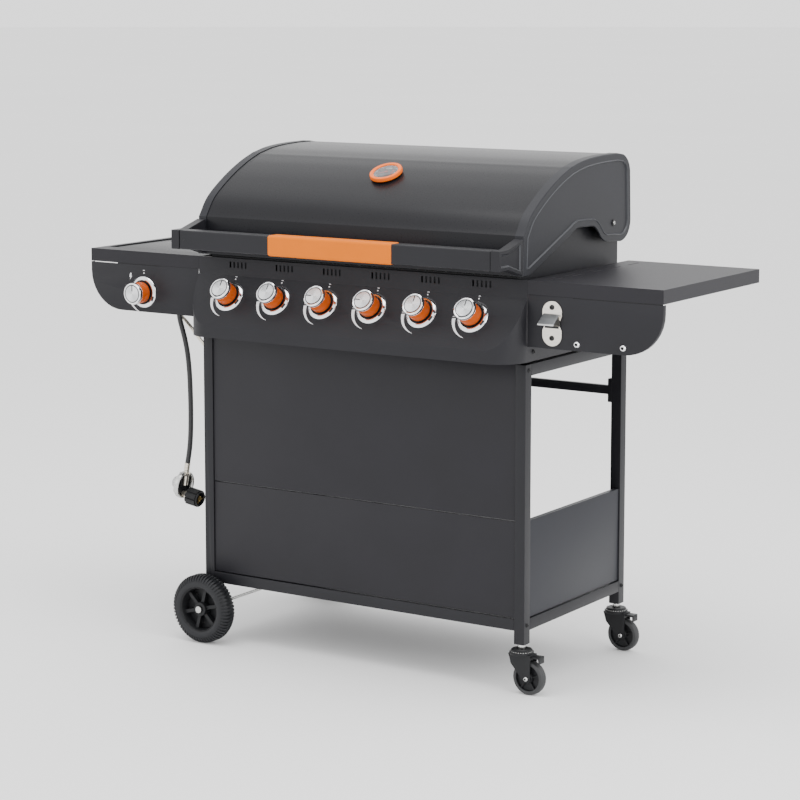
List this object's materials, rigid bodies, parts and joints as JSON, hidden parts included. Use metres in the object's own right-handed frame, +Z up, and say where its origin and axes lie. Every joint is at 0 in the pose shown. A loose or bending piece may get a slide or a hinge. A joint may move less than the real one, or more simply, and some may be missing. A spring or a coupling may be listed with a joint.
{
  "type": "gas barbecue grill",
  "caption": "Gas barbecue on a wheeled cart with a hinged domed lid, control panel with rotary knobs, two side tables, a side burner and a hose with regulator.",
  "frame": {"origin": "middle of the footprint of the whole grill, on the ground under the wheels", "axes": "+X to the right as the cook faces the grill, along its length; +Y to the back; +Z up"},
  "size_m": [1.503, 0.6152, 1.14],
  "materials": {
    "black_powder_coat": "fine satin powder coat",
    "grey_powder_coat": "fine satin powder coat, a little lighter",
    "lid_enamel": "semi-gloss baked enamel",
    "zinc_steel": "bright zinc",
    "black_plastic": "moulded",
    "black_rubber": "matt",
    "cast_iron": "matt black enamel on iron",
    "chrome_wire": "bright plated wire",
    "warm_nickel": "satin nickel",
    "orange_plastic": "satin, moulded",
    "knob_silver": "brushed face over an orange skirt"
  },
  "bodies": {
    "cart": {"post_front_left": "black_powder_coat", "post_front_right": "black_powder_coat", "post_rear_left": "black_powder_coat", "post_rear_right": "black_powder_coat", "bottom_rail_front": "black_powder_coat", "bottom_rail_rear": "black_powder_coat", "bottom_rail_left": "black_powder_coat", "bottom_rail_right": "black_powder_coat", "top_rail_left": "black_powder_coat", "top_rail_right": "black_powder_coat", "rear_crossbar": "black_powder_coat", "front_panel_lower": "black_powder_coat", "front_panel_upper": "black_powder_coat", "base_shelf": "black_powder_coat", "control_panel": "black_powder_coat", "left_table_top": "black_powder_coat", "left_table_fascia": "black_powder_coat", "right_table_top": "black_powder_coat", "right_table_fascia": "black_powder_coat", "side_panel_left": "grey_powder_coat", "side_panel_right": "grey_powder_coat", "wheel_axle": "zinc_steel", "caster_stem_front": "zinc_steel", "caster_stem_rear": "zinc_steel", "lid_hinge_bolt_left": "zinc_steel", "lid_hinge_bolt_right": "zinc_steel", "gas_manifold": "zinc_steel", "burner_set": "zinc_steel", "side_burner": "zinc_steel", "gas_regulator": "zinc_steel", "gas_hose": "black_rubber", "firebox": "cast_iron", "cooking_grate_left": "cast_iron", "cooking_grate_right": "cast_iron", "warming_rack": "chrome_wire", "bottle_opener": "warm_nickel"},
    "lid": {"lid_shell": "lid_enamel", "lid_end_left": "lid_enamel", "lid_end_right": "lid_enamel", "lid_handle": "black_powder_coat", "handle_grip": "orange_plastic", "thermometer": "zinc_steel"},
    "burner_knob_1": {"burner_knob_1": "knob_silver"},
    "burner_knob_2": {"burner_knob_2": "knob_silver"},
    "burner_knob_3": {"burner_knob_3": "knob_silver"},
    "burner_knob_4": {"burner_knob_4": "knob_silver"},
    "burner_knob_5": {"burner_knob_5": "knob_silver"},
    "burner_knob_6": {"burner_knob_6": "knob_silver"},
    "side_burner_knob": {"side_burner_knob": "knob_silver"},
    "wheel_front_left": {"wheel_front_left": "black_plastic"},
    "wheel_rear_left": {"wheel_rear_left": "black_plastic"},
    "caster_fork_front": {"caster_fork_front": "black_plastic"},
    "caster_fork_rear": {"caster_fork_rear": "black_plastic"},
    "caster_wheel_front": {"caster_wheel_front": "black_rubber"},
    "caster_wheel_rear": {"caster_wheel_rear": "black_rubber"},
    "caster_brake_front": {"caster_brake_front": "black_plastic"},
    "caster_brake_rear": {"caster_brake_rear": "black_plastic"},
    "side_burner_cover": {"side_burner_cover": "lid_enamel"},
    "grease_tray": {"grease_tray": "zinc_steel"},
    "regulator_nut": {"regulator_nut": "black_plastic"}
  },
  "joints": [
    {"name": "lid_hinge", "type": "hinge", "parent": "cart", "child": "lid", "pos_m": [0, 0.18995, 0.986], "axis": [-1, 0, 0], "range_deg": [0, 85]},
    {"name": "knob_1_turn", "type": "hinge", "parent": "cart", "child": "burner_knob_1", "pos_m": [-0.3255, -0.22737, 0.813], "axis": [0, -0.8461, 0.533], "range_deg": [0, 210]},
    {"name": "knob_2_turn", "type": "hinge", "parent": "cart", "child": "burner_knob_2", "pos_m": [-0.1969, -0.22737, 0.813], "axis": [0, -0.8461, 0.533], "range_deg": [0, 210]},
    {"name": "knob_3_turn", "type": "hinge", "parent": "cart", "child": "burner_knob_3", "pos_m": [-0.0683, -0.22737, 0.813], "axis": [0, -0.8461, 0.533], "range_deg": [-90, 120]},
    {"name": "knob_4_turn", "type": "hinge", "parent": "cart", "child": "burner_knob_4", "pos_m": [0.0603, -0.22737, 0.813], "axis": [0, -0.8461, 0.533], "range_deg": [-90, 120]},
    {"name": "knob_5_turn", "type": "hinge", "parent": "cart", "child": "burner_knob_5", "pos_m": [0.1889, -0.22737, 0.813], "axis": [0, -0.8461, 0.533], "range_deg": [0, 210]},
    {"name": "knob_6_turn", "type": "hinge", "parent": "cart", "child": "burner_knob_6", "pos_m": [0.3175, -0.22737, 0.813], "axis": [0, -0.8461, 0.533], "range_deg": [0, 210]},
    {"name": "side_knob_turn", "type": "hinge", "parent": "cart", "child": "side_burner_knob", "pos_m": [-0.594, -0.19965, 0.803], "axis": [0, -1, 0], "range_deg": [0, 210]},
    {"name": "wheel_front_spin", "type": "hinge", "parent": "cart", "child": "wheel_front_left", "pos_m": [-0.4145, -0.21915, 0.08], "axis": [0, 1, 0], "continuous": true},
    {"name": "wheel_rear_spin", "type": "hinge", "parent": "cart", "child": "wheel_rear_left", "pos_m": [-0.4145, 0.28505, 0.08], "axis": [0, 1, 0], "continuous": true},
    {"name": "caster_front_swivel", "type": "hinge", "parent": "cart", "child": "caster_fork_front", "pos_m": [0.4145, -0.18115, 0.09], "axis": [0, 0, 1], "continuous": true},
    {"name": "caster_front_roll", "type": "hinge", "parent": "caster_fork_front", "child": "caster_wheel_front", "pos_m": [0.4345, -0.18115, 0.0375], "axis": [0, 1, 0], "continuous": true},
    {"name": "caster_front_brake", "type": "hinge", "parent": "caster_fork_front", "child": "caster_brake_front", "pos_m": [0.4445, -0.18115, 0.0845], "axis": [0, 1, 0], "range_deg": [0, 15]},
    {"name": "caster_rear_swivel", "type": "hinge", "parent": "cart", "child": "caster_fork_rear", "pos_m": [0.4145, 0.24705, 0.09], "axis": [0, 0, 1], "continuous": true},
    {"name": "caster_rear_roll", "type": "hinge", "parent": "caster_fork_rear", "child": "caster_wheel_rear", "pos_m": [0.4345, 0.24705, 0.0375], "axis": [0, 1, 0], "continuous": true},
    {"name": "caster_rear_brake", "type": "hinge", "parent": "caster_fork_rear", "child": "caster_brake_rear", "pos_m": [0.4445, 0.24705, 0.0845], "axis": [0, 1, 0], "range_deg": [0, 15]},
    {"name": "side_cover_hinge", "type": "hinge", "parent": "cart", "child": "side_burner_cover", "pos_m": [-0.594, 0.21645, 0.8955], "axis": [-1, 0, 0], "range_deg": [0, 100]},
    {"name": "grease_tray_slide", "type": "slide", "parent": "cart", "child": "grease_tray", "axis": [0, 1, 0], "range_m": [0, 0.3]},
    {"name": "regulator_nut_turn", "type": "hinge", "parent": "cart", "child": "regulator_nut", "pos_m": [-0.51725, -0.13705, 0.31936], "axis": [0.9877, 0, -0.1564], "continuous": true}
  ]
}
